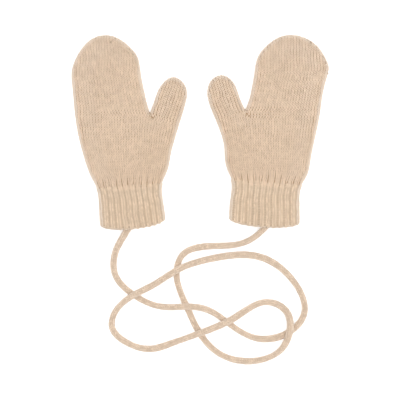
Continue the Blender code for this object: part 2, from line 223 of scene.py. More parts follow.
def cord_line(step):
    """The cord's middle line as it lies on the table, over itself and into the cuffs."""
    plan, marks, given = smooth_curve([row[:2] for row in CORD_ROUTE], step)
    crossings = [run for run, row in zip(given, CORD_ROUTE) if row[2] == "over"]
    hems = [run for run, row in zip(given, CORD_ROUTE) if row[2] == "hem"]
    inside = np.maximum(hems[0] - marks, marks - hems[1]) + HEM_CLEAR
    climb = CORD_CUFF_HEIGHT - CORD_REST_HEIGHT
    height = CORD_REST_HEIGHT + ease(1.0 + inside / CUFF_DROP) * climb
    down = np.ones(len(marks))
    for run in crossings:
        down *= ease((np.abs(marks - run) - CROSSING_FLAT) / (CROSSING_REACH - CROSSING_FLAT))
    return np.column_stack((plan, height + (1.0 - down) * CORD_CROSSING_LIFT)), marks


def around_line(line, radius, turns):
    """Points round a line, a ring for each of its points, and the way out at each one."""
    ahead = unit(np.gradient(line, axis=0))
    side = unit(np.cross(ahead, (0.0, 0.0, 1.0)))
    above = np.cross(side, ahead)
    angle = turns[..., None]
    out = side[:, None] * np.cos(angle) + above[:, None] * np.sin(angle)
    return line[:, None] + out * radius, out


def linear(colour):
    """An sRGB colour of 0 to 255 as the linear colour that a material takes."""
    return (*[((part / 255 + 0.055) / 1.055) ** 2.4 for part in colour], 1.0)


def shifted(colour, by):
    """A colour with this much added to each of its parts."""
    return [part + by for part in colour]


def add_node(tree, kind, **settings):
    """A new node with its settings. One that is a socket's name, or an underscore and its
    number, sets or links that socket."""
    node = tree.nodes.new(kind)
    for name, value in settings.items():
        if hasattr(node, name):
            setattr(node, name, value)
            continue
        key = int(name[1:]) if name[1:].isdigit() else name.replace("_", " ")
        entry = node.inputs[key]
        if isinstance(value, bpy.types.NodeSocket):
            tree.links.new(value, entry)
        else:
            entry.default_value = value
    return node


def add_math(tree, operation, *values, clamp=False):
    """The result of a new maths node over these values."""
    entries = {"_" + str(i): value for i, value in enumerate(values)}
    node = add_node(tree, "ShaderNodeMath", operation=operation, use_clamp=clamp, **entries)
    return node.outputs[0]


def add_sockets(tree, way, sockets):
    """Named inputs or outputs for a node group."""
    for name, kind, value in sockets:
        made = tree.interface.new_socket(name=name, in_out=way, socket_type=kind)
        if value is not None:
            made.default_value = value


# How yarn looks: each stitch is a little lighter or darker than the next, the dye is a little uneven
# from place to place, and the plies turn round the strand. A painted sheen, a pale greyish colour
# mixed in where the cloth is seen edge on, stands in for the light that loose fibres catch there.
STITCH_SHARE = 0.40
PATCH_SHARE = 0.15
FIBRE_SHARE = 0.20
LEAST_SHARE = 0.125
PATCH_DETAIL = 3.0
FIBRE_DETAIL = 2.0
PLY_CLIMB = 7.0
PLY_HEIGHT = 0.3
# The painted sheen: how fast it rises towards where the cloth is seen edge on, and its colour
EDGE_SHEEN_RISE = 0.7
EDGE_SHEEN_COLOUR = (225, 216, 207)
YARN_ROUGHNESS = 0.85
YARN_SHINE = 0.35
YARN_SHEEN = 0.05
BUMP_STRENGTH = 0.5
BUMP_DEPTH = 0.0001
yarn_look = bpy.data.node_groups.new("yarn_look", "ShaderNodeTree")
add_sockets(yarn_look, "INPUT", (
    ("Light yarn", "NodeSocketColor", (1.0, 1.0, 1.0, 1.0)),
    ("Dark yarn", "NodeSocketColor", (0.5, 0.5, 0.5, 1.0)),
    ("Patch size", "NodeSocketFloat", 0.012),
    ("Fibre size", "NodeSocketFloat", 0.0003),
    ("Plies", "NodeSocketFloat", 2.0),
    ("Painted sheen colour", "NodeSocketColor", (0.7, 0.7, 0.7, 1.0)),
    ("Painted sheen", "NodeSocketFloat", 1.0),
    ("Most painted sheen", "NodeSocketFloat", 0.45),
))
add_sockets(yarn_look, "OUTPUT", (
    ("Colour", "NodeSocketColor", None),
    ("Height", "NodeSocketFloat", None),
))
given = add_node(yarn_look, "NodeGroupInput").outputs
place = add_node(yarn_look, "ShaderNodeTexCoord").outputs["Object"]
shade = add_node(yarn_look, "ShaderNodeAttribute", attribute_name="shade").outputs["Fac"]
patches, fibres = (
    add_node(
        yarn_look, "ShaderNodeTexNoise", Vector=place, Detail=detail,
        Scale=add_math(yarn_look, "DIVIDE", 1.0, given[grain])).outputs["Fac"]
    for grain, detail in (("Patch size", PATCH_DETAIL), ("Fibre size", FIBRE_DETAIL)))
tone_share = add_math(yarn_look, "MULTIPLY_ADD", shade, STITCH_SHARE, LEAST_SHARE)
tone_share = add_math(yarn_look, "MULTIPLY_ADD", patches, PATCH_SHARE, tone_share)
tone_share = add_math(yarn_look, "MULTIPLY_ADD", fibres, FIBRE_SHARE, tone_share)
tone = add_node(
    yarn_look, "ShaderNodeMix", data_type="RGBA", Factor=tone_share,
    _6=given["Dark yarn"], _7=given["Light yarn"]).outputs[2]
strand = add_node(yarn_look, "ShaderNodeAttribute", attribute_name="strand").outputs["Vector"]
strand_parts = add_node(yarn_look, "ShaderNodeSeparateXYZ", Vector=strand).outputs
turn = add_math(yarn_look, "ARCTAN2", strand_parts["X"], strand_parts["Y"])
wound = add_math(yarn_look, "MULTIPLY", turn, given["Plies"])
climb = add_math(yarn_look, "MULTIPLY_ADD", strand_parts["Z"], PLY_CLIMB, wound)
ply = add_math(yarn_look, "SINE", climb)
ply_height = add_math(yarn_look, "MULTIPLY_ADD", ply, PLY_HEIGHT, fibres)
# Painted sheen: the colour is paled where the cloth is seen edge on
cloth_way = add_node(yarn_look, "ShaderNodeAttribute", attribute_name="out").outputs["Vector"]
looking = add_node(yarn_look, "ShaderNodeNewGeometry").outputs["Incoming"]
facing_us = add_node(
    yarn_look, "ShaderNodeVectorMath", operation="DOT_PRODUCT",
    _0=cloth_way, _1=looking).outputs["Value"]
edge_on = add_math(yarn_look, "SUBTRACT", 1.0, facing_us, clamp=True)
edge_sheen_amount = add_math(yarn_look, "POWER", edge_on, EDGE_SHEEN_RISE)
painted_sheen = add_math(yarn_look, "MULTIPLY", edge_sheen_amount, given["Painted sheen"], clamp=True)
capped_sheen = add_math(yarn_look, "MINIMUM", painted_sheen, given["Most painted sheen"])
sheened_tone = add_node(
    yarn_look, "ShaderNodeMix", data_type="RGBA", Factor=capped_sheen,
    _6=tone, _7=given["Painted sheen colour"]).outputs[2]
add_node(yarn_look, "NodeGroupOutput", Colour=sheened_tone, Height=ply_height)


def yarn(name, colour, contrast, painted_sheen=1.6):
    """A soft matte yarn of one colour. Its lightest and darkest stitches are the contrast lighter
    and darker than it. The painted sheen sets how strongly its colour is paled where the cloth is
    seen edge on."""
    material = bpy.data.materials.new(name)
    material.use_nodes = True
    tree = material.node_tree
    shader = tree.nodes["Principled BSDF"]
    look = add_node(tree, "ShaderNodeGroup", node_tree=yarn_look)
    look.inputs["Light yarn"].default_value = linear(shifted(colour, contrast))
    look.inputs["Dark yarn"].default_value = linear(shifted(colour, -contrast))
    look.inputs["Painted sheen colour"].default_value = linear(EDGE_SHEEN_COLOUR)
    look.inputs["Painted sheen"].default_value = painted_sheen
    bump = add_node(
        tree, "ShaderNodeBump", Height=look.outputs["Height"],
        Strength=BUMP_STRENGTH, Distance=BUMP_DEPTH)
    tree.links.new(look.outputs["Colour"], shader.inputs["Base Color"])
    tree.links.new(bump.outputs["Normal"], shader.inputs["Normal"])
    shader.inputs["Roughness"].default_value = YARN_ROUGHNESS
    shader.inputs["Specular IOR Level"].default_value = YARN_SHINE
    shader.inputs["Sheen Weight"].default_value = YARN_SHEEN
    return material


# One knit stitch is a V of two strands that lean apart and dip under the stitch above. The
# tree sets one on each point, along its wale, and sizes it to the room that it has there.
STRAND_SIDES = 6
STRAND_RINGS = 3
STITCH_WALE = 0.00217
STITCH_COURSE = 0.0017
STITCH_STRETCH = (0.45, 1.7)
stitch_tree = bpy.data.node_groups.new("knit_stitches", "GeometryNodeTree")
add_sockets(stitch_tree, "INPUT", (
    ("Points", "NodeSocketGeometry", None),
    ("Strand width", "NodeSocketFloat", 0.00096),
    ("Strand height", "NodeSocketFloat", 0.0011),
    ("Strand length", "NodeSocketFloat", 0.0029),
    ("Strands apart", "NodeSocketFloat", 0.00091),
    ("Lean", "NodeSocketFloat", 0.42),
    ("Dip", "NodeSocketFloat", 0.10),
    ("Unevenness", "NodeSocketFloat", 0.11),
    ("Seed", "NodeSocketInt", 1),
    ("Yarn", "NodeSocketMaterial", None),
))
add_sockets(stitch_tree, "OUTPUT", (("Stitches", "NodeSocketGeometry", None),))
given = add_node(stitch_tree, "NodeGroupInput").outputs
ball = add_node(
    stitch_tree, "GeometryNodeMeshUVSphere", Segments=STRAND_SIDES, Rings=STRAND_RINGS, Radius=1.0)
soft_ball = add_node(stitch_tree, "GeometryNodeSetShadeSmooth", Geometry=ball.outputs["Mesh"])
ball_place = add_node(stitch_tree, "GeometryNodeInputPosition")
marked_ball = add_node(
    stitch_tree, "GeometryNodeStoreNamedAttribute", data_type="FLOAT_VECTOR", domain="POINT",
    Geometry=soft_ball.outputs["Geometry"], Name="strand", Value=ball_place.outputs["Position"])
strand_size = add_node(
    stitch_tree, "ShaderNodeCombineXYZ", X=given["Strand width"], Y=given["Strand height"],
    Z=given["Strand length"])
half_size = add_node(
    stitch_tree, "ShaderNodeVectorMath", operation="SCALE",
    Vector=strand_size.outputs[0], Scale=0.5)
stitch_parts = add_node(stitch_tree, "GeometryNodeJoinGeometry")
for strand_side in (-1.0, 1.0):
    shift = add_math(stitch_tree, "MULTIPLY", given["Strands apart"], strand_side / 2)
    shift_to = add_node(stitch_tree, "ShaderNodeCombineXYZ", X=shift)
    lean = add_math(stitch_tree, "MULTIPLY", given["Lean"], strand_side)
    lean_to = add_node(stitch_tree, "ShaderNodeCombineXYZ", X=given["Dip"], Y=lean)
    lean_turn = add_node(stitch_tree, "FunctionNodeEulerToRotation", Euler=lean_to.outputs[0])
    leaning = add_node(
        stitch_tree, "GeometryNodeTransform", Geometry=marked_ball.outputs["Geometry"],
        Translation=shift_to.outputs[0], Rotation=lean_turn.outputs[0], Scale=half_size.outputs[0])
    stitch_tree.links.new(leaning.outputs[0], stitch_parts.inputs[0])
along, out, size = (
    add_node(
        stitch_tree, "GeometryNodeInputNamedAttribute", data_type="FLOAT_VECTOR",
        Name=label).outputs["Attribute"]
    for label in ("along", "out", "size"))
facing = add_node(
    stitch_tree, "FunctionNodeAxesToRotation", primary_axis="Z", secondary_axis="Y",
    Primary_Axis=along, Secondary_Axis=out)
least = add_math(stitch_tree, "MULTIPLY", given["Unevenness"], -1.0)
wobble = add_node(
    stitch_tree, "FunctionNodeRandomValue", data_type="FLOAT_VECTOR", Seed=given["Seed"],
    _0=least, _1=given["Unevenness"])
wobble_turn = add_node(stitch_tree, "FunctionNodeEulerToRotation", Euler=wobble.outputs[0])
turned = add_node(
    stitch_tree, "FunctionNodeRotateRotation", rotation_space="LOCAL",
    Rotation=facing.outputs[0], Rotate_By=wobble_turn.outputs[0])
growth = add_node(
    stitch_tree, "ShaderNodeVectorMath", operation="ADD",
    _0=wobble.outputs[0], _1=(1.0, 1.0, 1.0))
grown = add_node(
    stitch_tree, "ShaderNodeVectorMath", operation="MULTIPLY", _0=growth.outputs[0], _1=size)
stitches = add_node(
    stitch_tree, "GeometryNodeInstanceOnPoints", Points=given["Points"],
    Instance=stitch_parts.outputs[0], Rotation=turned.outputs[0], Scale=grown.outputs[0])
shades = add_node(
    stitch_tree, "FunctionNodeRandomValue", data_type="FLOAT", Seed=given["Seed"])
shaded = add_node(
    stitch_tree, "GeometryNodeStoreNamedAttribute", data_type="FLOAT", domain="INSTANCE",
    Geometry=stitches.outputs[0], Name="shade", Value=shades.outputs[1])
realized = add_node(stitch_tree, "GeometryNodeRealizeInstances", Geometry=shaded.outputs[0])
dyed = add_node(
    stitch_tree, "GeometryNodeSetMaterial", Geometry=realized.outputs[0],
    Material=given["Yarn"])
add_node(stitch_tree, "NodeGroupOutput", Stitches=dyed.outputs[0])


def knit(name, points, out, along, size, material, **sizes):
    """A piece of stitches, one on each point. Named sizes take the place of the tree's own.
    Yarn that would reach below the table is pressed flat on it."""
    mesh = bpy.data.meshes.new(name + "_points")
    mesh.from_pydata(points.tolist(), [], [])
    for label, values in (("out", out), ("along", along), ("size", size)):
        attribute = mesh.attributes.new(label, "FLOAT_VECTOR", "POINT")
        attribute.data.foreach_set("vector", values.astype(np.float32).ravel())
    item = bpy.data.objects.new(name, mesh)
    scene.collection.objects.link(item)
    modifier = item.modifiers.new("stitches", "NODES")
    modifier.node_group = stitch_tree
    names = {entry.name: entry.identifier for entry in stitch_tree.interface.items_tree
             if entry.in_out == "INPUT"}
    modifier[names["Yarn"]] = material
    for label, value in sizes.items():
        modifier[names[label.replace("_", " ")]] = value
    graph = bpy.context.evaluated_depsgraph_get()
    plain = bpy.data.meshes.new_from_object(item.evaluated_get(graph), depsgraph=graph)
    item.modifiers.clear()
    item.data = plain
    plain.name = name
    places = np.empty(len(plain.vertices) * 3)
    plain.vertices.foreach_get("co", places)
    places[2::3] = np.maximum(places[2::3], 0.0)
    plain.vertices.foreach_set("co", places)
    plain.update()
    return item


def steps(grid, axis):
    """The mean step to a grid's next and last point along an axis, where they are there."""
    change = np.diff(grid, axis=axis)
    none = np.full_like(np.take(grid, [0], axis), np.nan)
    before = np.concatenate((none, change), axis)
    after = np.concatenate((change, none), axis)
    known = np.isfinite(before) * 1.0 + np.isfinite(after)
    return (np.nan_to_num(before) + np.nan_to_num(after)) / np.maximum(known, 1.0)


def stitch_room(points):
    """Which way each stitch of a grid of courses and wales lies, and its size."""
    along = steps(points, 0)
    course = np.linalg.norm(along, axis=-1)
    wale = np.linalg.norm(steps(points, 1), axis=-1)
    size = np.stack((wale / STITCH_WALE, np.ones_like(wale), course / STITCH_COURSE), axis=-1)
    return along, np.clip(size, *STITCH_STRETCH)


def add_piece(name, mesh, material):
    """A mesh as a smoothly shaded object of one material."""
    mesh.shade_smooth()
    mesh.materials.append(material)
    item = bpy.data.objects.new(name, mesh)
    scene.collection.objects.link(item)
    return item


def closed_piece(name, points, faces, material):
    """A closed mesh as an object, with all its faces turned outwards."""
    mesh = bpy.data.meshes.new(name)
    mesh.from_pydata(points, [], faces)
    shape = bmesh.new()
    shape.from_mesh(mesh)
    bmesh.ops.recalc_face_normals(shape, faces=shape.faces)
    shape.to_mesh(mesh)
    shape.free()
    return add_piece(name, mesh, material)


# The cord's knitting is set on a plain core that fills it and shows between its stitches. The core
# is painted darker than the yarn, as painted shade between the stitches. It is a little thicker in
# some places than in others, and pressed flat where it rests.
CORD_COLOUR = (221, 200, 178)
CORD_CONTRAST = 30
# How much painted sheen the cord's yarn takes where it is seen edge on
CORD_PAINTED_SHEEN = 0.35
CORD_LEAN = 0.6
CORE_SHADE_SHIFT = -18
BASE_CONTRAST = 6
cord_yarn = yarn("cord_yarn", CORD_COLOUR, CORD_CONTRAST, CORD_PAINTED_SHEEN)
cord_inside_painted_shade = yarn("cord_inside_painted_shade", shifted(CORD_COLOUR, CORE_SHADE_SHIFT), BASE_CONTRAST, painted_sheen=0.0)
cord_path, cord_marks = cord_line(CORD_COURSE)
cord_chance = np.random.default_rng(CORD_SEED).uniform(-1.0, 1.0, CORD_SWELLS)
swell_marks = np.linspace(0.0, cord_marks[-1], CORD_SWELLS)
cord_swell = np.interp(cord_marks, swell_marks, cord_chance)[:, None, None]
cord_radii = (CORD_RADIUS - CORD_SINK) * (1.0 + CORD_UNEVENNESS * cord_swell)
core_turns = np.tile(np.arange(CORE_SIDES) * math.tau / CORE_SIDES, (len(cord_path), 1))
core_rings = around_line(cord_path, cord_radii, core_turns)[0]
core_rings[..., 2] = np.maximum(core_rings[..., 2], CORD_FLAT)
core_points = [*core_rings.reshape(-1, 3).tolist(), cord_path[0].tolist(), cord_path[-1].tolist()]
core_faces = []
for i in range(len(cord_path) - 1):
    ring, following = i * CORE_SIDES, (i + 1) * CORE_SIDES
    for k in range(CORE_SIDES):
        beside = (k + 1) % CORE_SIDES
        core_faces.append((ring + k, ring + beside, following + beside, following + k))
last_ring = (len(cord_path) - 1) * CORE_SIDES
start_point, end_point = last_ring + CORE_SIDES, last_ring + CORE_SIDES + 1
for k in range(CORE_SIDES):
    beside = (k + 1) % CORE_SIDES
    core_faces.append((k, beside, start_point))
    core_faces.append((last_ring + k, last_ring + beside, end_point))
cord_core = closed_piece("cord_core", core_points, core_faces, cord_inside_painted_shade)

cord_twist = cord_marks[:, None] * math.tau / CORD_TWIST
cord_turns = np.arange(CORD_WALES) * math.tau / CORD_WALES + cord_twist
cord_points, cord_out = around_line(cord_path, cord_radii, cord_turns)
cord_points[..., 2] = np.maximum(cord_points[..., 2], CORD_FLAT)
cord_along, cord_size = stitch_room(cord_points)
cord_stitches = knit(
    "cord_stitches", cord_points.reshape(-1, 3), cord_out.reshape(-1, 3),
    cord_along.reshape(-1, 3), cord_size.reshape(-1, 3), cord_yarn, Seed=11, Lean=CORD_LEAN)
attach(cord_core, "root")
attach(cord_stitches, "root")
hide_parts("cord")


# The hands: palm and back of each mitten are one tube of stocking stitch, closed at the
# fingertips. The cloth folds round at both sides, and a few soft dents show in it.
FOLD_RADIUS = 0.003
CROWN = 0.0011
CROWN_REACH = 0.014
FINGER_WALES = 27
THUMB_WALES = 12
FINGER_SHARE = 26 / 37
DOME_START = 0.0265
FINGERS_WAY = np.array([0.0, 1.0])
EDGE_STEP = 0.0005
EDGE_BESIDE = 0.0002
ROW_POINTS = 121

# A wale ends where a tube's dome leaves less than the least room beyond its middle, in widths
# of a wale. With less than the full room it stands in the middle of what it has.
LEAST_ROOM = 0.25
FULL_ROOM = 1.25

# How the grooves of the ribs below draw the palm's stitches in, aside and narrow just above
# the wrist
RIBS = 24
GATHER_DEPTH = 0.00055
GATHER_RISE = 0.0003
GATHER_PULL = 0.0004
GATHER_NARROWING = 0.08
GATHER_REACH = 0.011
GATHER_SHARPNESS = 1.5

# How far and how finely the wales wander sideways, at random but the same in each run
WAVER = 0.0005
WAVER_CELL = (0.008, 0.0036)
WAVER_SEED = 7
WAVER_FADE = 4
NOISE_CELLS = 96

# How deep the stitches and the cloth beneath them lie in the node's form, and how that cloth
# is cut finer and drawn together at the seams
CLOTH_SINK = 0.0006
BASE_SINK = 0.00095
CLOTH_CUTS = 3
SAME_POINT = 1e-6
SEAM_REACH = 0.0006
SKIN_LEAST = 0.3

# The outline from the hem round to the crotch, and round the thumb back to the hem: how far
# out from the middle of the pair and how far up each point is
LEFT_FINGERS = (
    ("hem corner", 0.0733, -0.0676),
    ("middle of cuff", 0.0740, -0.0548),
    ("wrist", 0.0754, -0.0434),
    ("heel of hand", 0.0793, -0.0353),
    ("side of palm", 0.0850, -0.0202),
    ("side of palm", 0.0898, -0.0018),
    ("side at crotch", 0.0924, 0.0158),
    ("side of fingers", 0.0940, 0.0334),
    ("side of fingers", 0.0945, 0.0437),
    ("shoulder of tip", 0.0918, 0.0529),
    ("shoulder of tip", 0.0865, 0.0617),
    ("shoulder of tip", 0.0790, 0.0684),
    ("fingertip", 0.0693, 0.0710),
    ("shoulder of tip", 0.0600, 0.0686),
    ("shoulder of tip", 0.0513, 0.0621),
    ("shoulder of tip", 0.0458, 0.0551),
    ("inner side", 0.0436, 0.0445),
    ("inner side", 0.0412, 0.0312),
    ("inner side", 0.0387, 0.0202),
    ("crotch", 0.0369, 0.0141),
)
LEFT_THUMB = (
    ("crotch", 0.0369, 0.0141),
    ("inner side", 0.0340, 0.0218),
    ("inner side", 0.0306, 0.0308),
    ("shoulder of tip", 0.0266, 0.0365),
    ("thumb tip", 0.0196, 0.0401),
    ("shoulder of tip", 0.0128, 0.0367),
    ("outer side", 0.0095, 0.0301),
    ("outer side", 0.0102, 0.0217),
    ("root", 0.0143, 0.0077),
    ("side of palm", 0.0181, -0.0048),
    ("side of palm", 0.0212, -0.0165),
    ("side of palm", 0.0230, -0.0261),
    ("heel of hand", 0.0255, -0.0331),
    ("wrist", 0.0279, -0.0397),
    ("middle of cuff", 0.0272, -0.0511),
    ("hem corner", 0.0256, -0.0628),
)
RIGHT_FINGERS = (
    ("hem corner", 0.0731, -0.0660),
    ("middle of cuff", 0.0729, -0.0533),
    ("wrist", 0.0742, -0.0412),
    ("heel of hand", 0.0782, -0.0339),
    ("side of palm", 0.0817, -0.0195),
    ("side of palm", 0.0854, -0.0018),
    ("side at crotch", 0.0886, 0.0151),
    ("side of fingers", 0.0910, 0.0305),
    ("side of fingers", 0.0939, 0.0412),
    ("shoulder of tip", 0.0948, 0.0470),
    ("shoulder of tip", 0.0921, 0.0545),
    ("shoulder of tip", 0.0864, 0.0628),
    ("shoulder of tip", 0.0776, 0.0688),
    ("fingertip", 0.0670, 0.0712),
    ("shoulder of tip", 0.0567, 0.0688),
    ("shoulder of tip", 0.0483, 0.0627),
    ("shoulder of tip", 0.0424, 0.0551),
    ("inner side", 0.0400, 0.0445),
    ("inner side", 0.0376, 0.0305),
    ("inner side", 0.0354, 0.0217),
    ("crotch", 0.0332, 0.0164),
)
RIGHT_THUMB = (
    ("crotch", 0.0332, 0.0164),
    ("inner side", 0.0305, 0.0221),
    ("inner side", 0.0273, 0.0309),
    ("shoulder of tip", 0.0235, 0.0376),
    ("thumb tip", 0.0160, 0.0415),
    ("shoulder of tip", 0.0088, 0.0384),
    ("outer side", 0.0053, 0.0308),
    ("outer side", 0.0064, 0.0212),
    ("root", 0.0108, 0.0098),
    ("side of palm", 0.0155, -0.0023),
    ("side of palm", 0.0177, -0.0121),
    ("side of palm", 0.0185, -0.0232),
    ("heel of hand", 0.0211, -0.0311),
    ("wrist", 0.0232, -0.0371),
    ("middle of cuff", 0.0224, -0.0496),
    ("hem corner", 0.0214, -0.0627),
)


# The soft dents and ridges that show in the cloth, and like ones on its under side. Each runs
# from its start to its end, and a negative depth is a ridge.
CREASE_COLUMNS = ("layer", "start", "end", "width", "depth")
LEFT_CREASES = (
    (1, (0.0374, 0.0135), (0.0351, 0.0095), 0.0010, 0.0016),
    (1, (0.0653, 0.0650), (0.0491, 0.0562), 0.0012, 0.0005),
    (1, (0.0620, 0.0460), (0.0800, 0.0380), 0.0060, 0.0003),
    (1, (0.0480, -0.0050), (0.0560, -0.0260), 0.0070, 0.0003),
    (1, (0.0850, 0.0020), (0.0780, -0.0180), 0.0060, -0.0002),
    (-1, (0.0720, 0.0300), (0.0560, 0.0420), 0.0060, 0.0003),
    (-1, (0.0600, -0.0150), (0.0450, -0.0270), 0.0070, 0.0003),
)
RIGHT_CREASES = (
    (1, (0.0330, 0.0155), (0.0358, 0.0112), 0.0010, 0.0016),
    (1, (0.0810, 0.0650), (0.0869, 0.0599), 0.0012, 0.0005),
    (1, (0.0869, 0.0599), (0.0925, 0.0515), 0.0012, 0.0005),
    (1, (0.0560, 0.0400), (0.0740, 0.0300), 0.0060, 0.0003),
    (1, (0.0430, -0.0080), (0.0600, -0.0200), 0.0070, 0.0003),
    (1, (0.0780, 0.0050), (0.0720, -0.0150), 0.0060, -0.0002),
    (-1, (0.0640, 0.0350), (0.0780, 0.0240), 0.0060, 0.0003),
    (-1, (0.0400, -0.0100), (0.0520, -0.0260), 0.0070, 0.0003),
)


def crossing(edge, way, level):
    """The point where an edge passes a level, counted along a direction."""
    heights = edge @ way
    order = np.argsort(heights, kind="stable")
    return np.array([np.interp(level, heights[order], edge[order, axis]) for axis in range(2)])


def soft_noise(spots, cell, seed):
    """Smooth random values from -1 to 1 at points, with one free value to each cell."""
    table = np.random.default_rng(seed).uniform(-1.0, 1.0, (NOISE_CELLS, NOISE_CELLS))
    place = spots / np.array(cell) + NOISE_CELLS / 2
    corner = np.floor(place).astype(int)
    part = ease(place - corner)
    value = np.zeros(len(spots))
    for right in (0, 1):
        for high in (0, 1):
            share = np.abs(1 - right - part[:, 0]) * np.abs(1 - high - part[:, 1])
            value += share * table[corner[:, 0] + right, corner[:, 1] + high]
    return value


def place_of(table, name):
    """A named point of an outline's table."""
    return np.array([row[1:] for row in table if row[0] == name][0])


class Mitten:
    """A mitten's outline as it lies, and the cloth that follows it. Its points are those of a
    mitten on the right, and the mirror turns them to its own side."""

    def __init__(self, side, fingers, thumb, creases):
        self.side = side
        self.mirror = np.array([side, 1.0, 1.0])
        self.creases = [dict(zip(CREASE_COLUMNS, row)) for row in creases]
        finger_edge = smooth_curve([row[1:] for row in fingers], EDGE_STEP)[0]
        thumb_edge = smooth_curve([row[1:] for row in thumb], EDGE_STEP)[0]
        self.tip_edges = {"fingertip": finger_edge, "thumb_tip": thumb_edge}
        tip = int(np.argmax(finger_edge[:, 1]))
        self.outer_side = finger_edge[:tip + 1]
        self.inner_side = finger_edge[tip:]
        self.fingertip = finger_edge[tip]
        self.crotch = finger_edge[-1]
        self.root = place_of(thumb, "root")
        across = unit(self.crotch - self.root)
        self.thumb_way = np.array([-across[1], across[0]])
        peak = int(np.argmax(thumb_edge @ self.thumb_way))
        self.thumb_inner = thumb_edge[:peak + 1]
        self.thumb_outer = thumb_edge[peak:]
        self.thumb_tip = thumb_edge[peak]
        self.wrist = {"outer": place_of(fingers, "wrist"), "inner": place_of(thumb, "wrist")}
        self.hem = {"outer": finger_edge[0], "inner": thumb_edge[-1]}
        points = np.vstack([finger_edge, thumb_edge[1:]])
        self.starts = points[:-1]
        self.runs = np.diff(points, axis=0)
        self.inwards = unit(np.column_stack((-self.runs[:, 1], self.runs[:, 0])))

    def cloth(self, plan, layer, sink=0.0):
        """Points on the upper (layer 1) or under (layer -1) cloth over points of the plan,
        sunk into it by a depth, and the way out of the cloth there."""
        plan = np.asarray(plan, float).reshape(-1, 2)
        reach = ((plan[:, None] - self.starts) * self.runs).sum(2) / (self.runs ** 2).sum(1)
        feet = self.starts + self.runs * np.clip(reach, 0.0, 1.0)[..., None]
        gaps = np.linalg.norm(plan[:, None] - feet, axis=2)
        best = gaps.argmin(1)
        foot = feet[np.arange(len(plan)), best]
        depth = gaps.min(1)
        beside = depth < EDGE_BESIDE
        inward = np.where(beside[:, None], self.inwards[best], unit(plan - foot))
        turn = np.arccos(np.clip(1.0 - depth / FOLD_RADIUS, 0.0, 1.0))
        folded = depth < FOLD_RADIUS
        part = np.clip((depth - FOLD_RADIUS) / CROWN_REACH, 0.0, 1.0)
        rise = CROWN * 6.0 * part * (1.0 - part) / CROWN_REACH * (layer > 0)
        lying = unit(np.column_stack((-inward * rise[:, None], np.full(len(plan), float(layer)))))
        rounding = np.column_stack((-inward * np.cos(turn)[:, None], layer * np.sin(turn)))
        out = np.where(folded[:, None], rounding, lying)
        height = FOLD_RADIUS * (1.0 + layer * np.sin(turn))
        if layer > 0:
            height = height + CROWN * ease(part)
        height = height - layer * np.sin(turn) * self.dents(plan, layer)
        return np.column_stack((plan, height)) - out * sink, out

    def seams(self):
        """A point on each line where the hand is joined on, and the way across that line."""
        across = unit(self.wrist["inner"] - self.wrist["outer"])
        wrist_way = np.array([-across[1], across[0]])
        return (self.wrist["outer"], wrist_way), (self.root, self.thumb_way)

    def dents(self, plan, layer):
        """How deep the soft dents are over points of the plan. A ridge counts below 0."""
        depth = np.zeros(len(plan))
        for row in self.creases:
            if row["layer"] != layer:
                continue
            start, run = np.array(row["start"]), np.array(row["end"]) - np.array(row["start"])
            part = np.clip((plan - start) @ run / (run @ run), 0.0, 1.0)
            away = np.linalg.norm(plan - start - run * part[:, None], axis=1)
            depth += row["depth"] * np.exp(-((away / row["width"]) ** 2))
        return depth

    def waver(self, points, out):
        """The small ways sideways that the wales wander, where the cloth lies flat."""
        wander = soft_noise(points[:, :2], WAVER_CELL, WAVER_SEED)
        return WAVER * wander * out[:, 2] ** WAVER_FADE

    def row(self, start, end):
        """Plan points along a row of cloth, crowded at its ends, and how far it is to each."""
        part = (1.0 - np.cos(np.linspace(0.0, math.pi, ROW_POINTS))) / 2.0
        plan = start + (end - start) * part[:, None]
        return plan, run_along(self.cloth(plan, 1)[0])

    def even_row(self, start, end, count):
        """Plan points of the middles of so many wales, evenly over a row of cloth."""
        plan, run = self.row(start, end)
        return points_at((np.arange(count) + 0.5) / count * run[-1], run, plan)

    def tube(self, near, far, way, base, tip, count):
        """Plan points of a closed tube's wales, course by course, from its base to its tip.
        They run straight up into the dome and end where they meet its edge."""
        top = tip @ way
        middle = (crossing(near, way, base) + crossing(far, way, base)) / 2.0
        plan, run = self.row(middle, tip)
        courses = int(round(run[-1] / STITCH_COURSE)) + 1
        levels = points_at(np.arange(courses) / (courses - 0.5) * run[-1], run, plan) @ way
        grid = np.full((courses, count, 2), np.nan)
        pitch = None
        for i, level in enumerate(levels):
            start, end = crossing(near, way, level), crossing(far, way, level)
            plan, run = self.row(start, end)
            if pitch is None or level < top - self.dome(way):
                pitch = run[-1] / count
            for k in range(count):
                spot = (k - (count - 1) / 2.0) * pitch
                spare = run[-1] / 2.0 - abs(spot)
                if spare < LEAST_ROOM * pitch:
                    continue
                if spare < FULL_ROOM * pitch:
                    spot += math.copysign((spare - 0.5 * pitch) / 2.0, spot)
                grid[i, k] = points_at([run[-1] / 2.0 + spot], run, plan)[0]
        return grid

    def dome(self, way):
        """How far below its tip a tube begins to close."""
        return DOME_START if way[0] == 0.0 else DOME_START / 2.0

    def rim(self, place):
        """The points of a chain of stitches round a closed tip, where the upper cloth meets
        the under one, and the ways out of and along the chain there."""
        way = FINGERS_WAY if place == "fingertip" else self.thumb_way
        edge = self.tip_edges[place]
        edge = edge[edge @ way > (edge @ way).max() - self.dome(way)]
        run = run_along(edge)
        marks = np.linspace(0.0, run[-1], int(round(run[-1] / STITCH_COURSE)) + 1)
        spots = points_at(marks, run, edge)
        ahead = unit(np.gradient(spots, axis=0))
        inward = np.column_stack((-ahead[:, 1], ahead[:, 0]))
        level = np.zeros(len(spots))
        points = np.column_stack((spots + inward * CLOTH_SINK, level + FOLD_RADIUS))
        return points, np.column_stack((-inward, level)), np.column_stack((ahead, level))

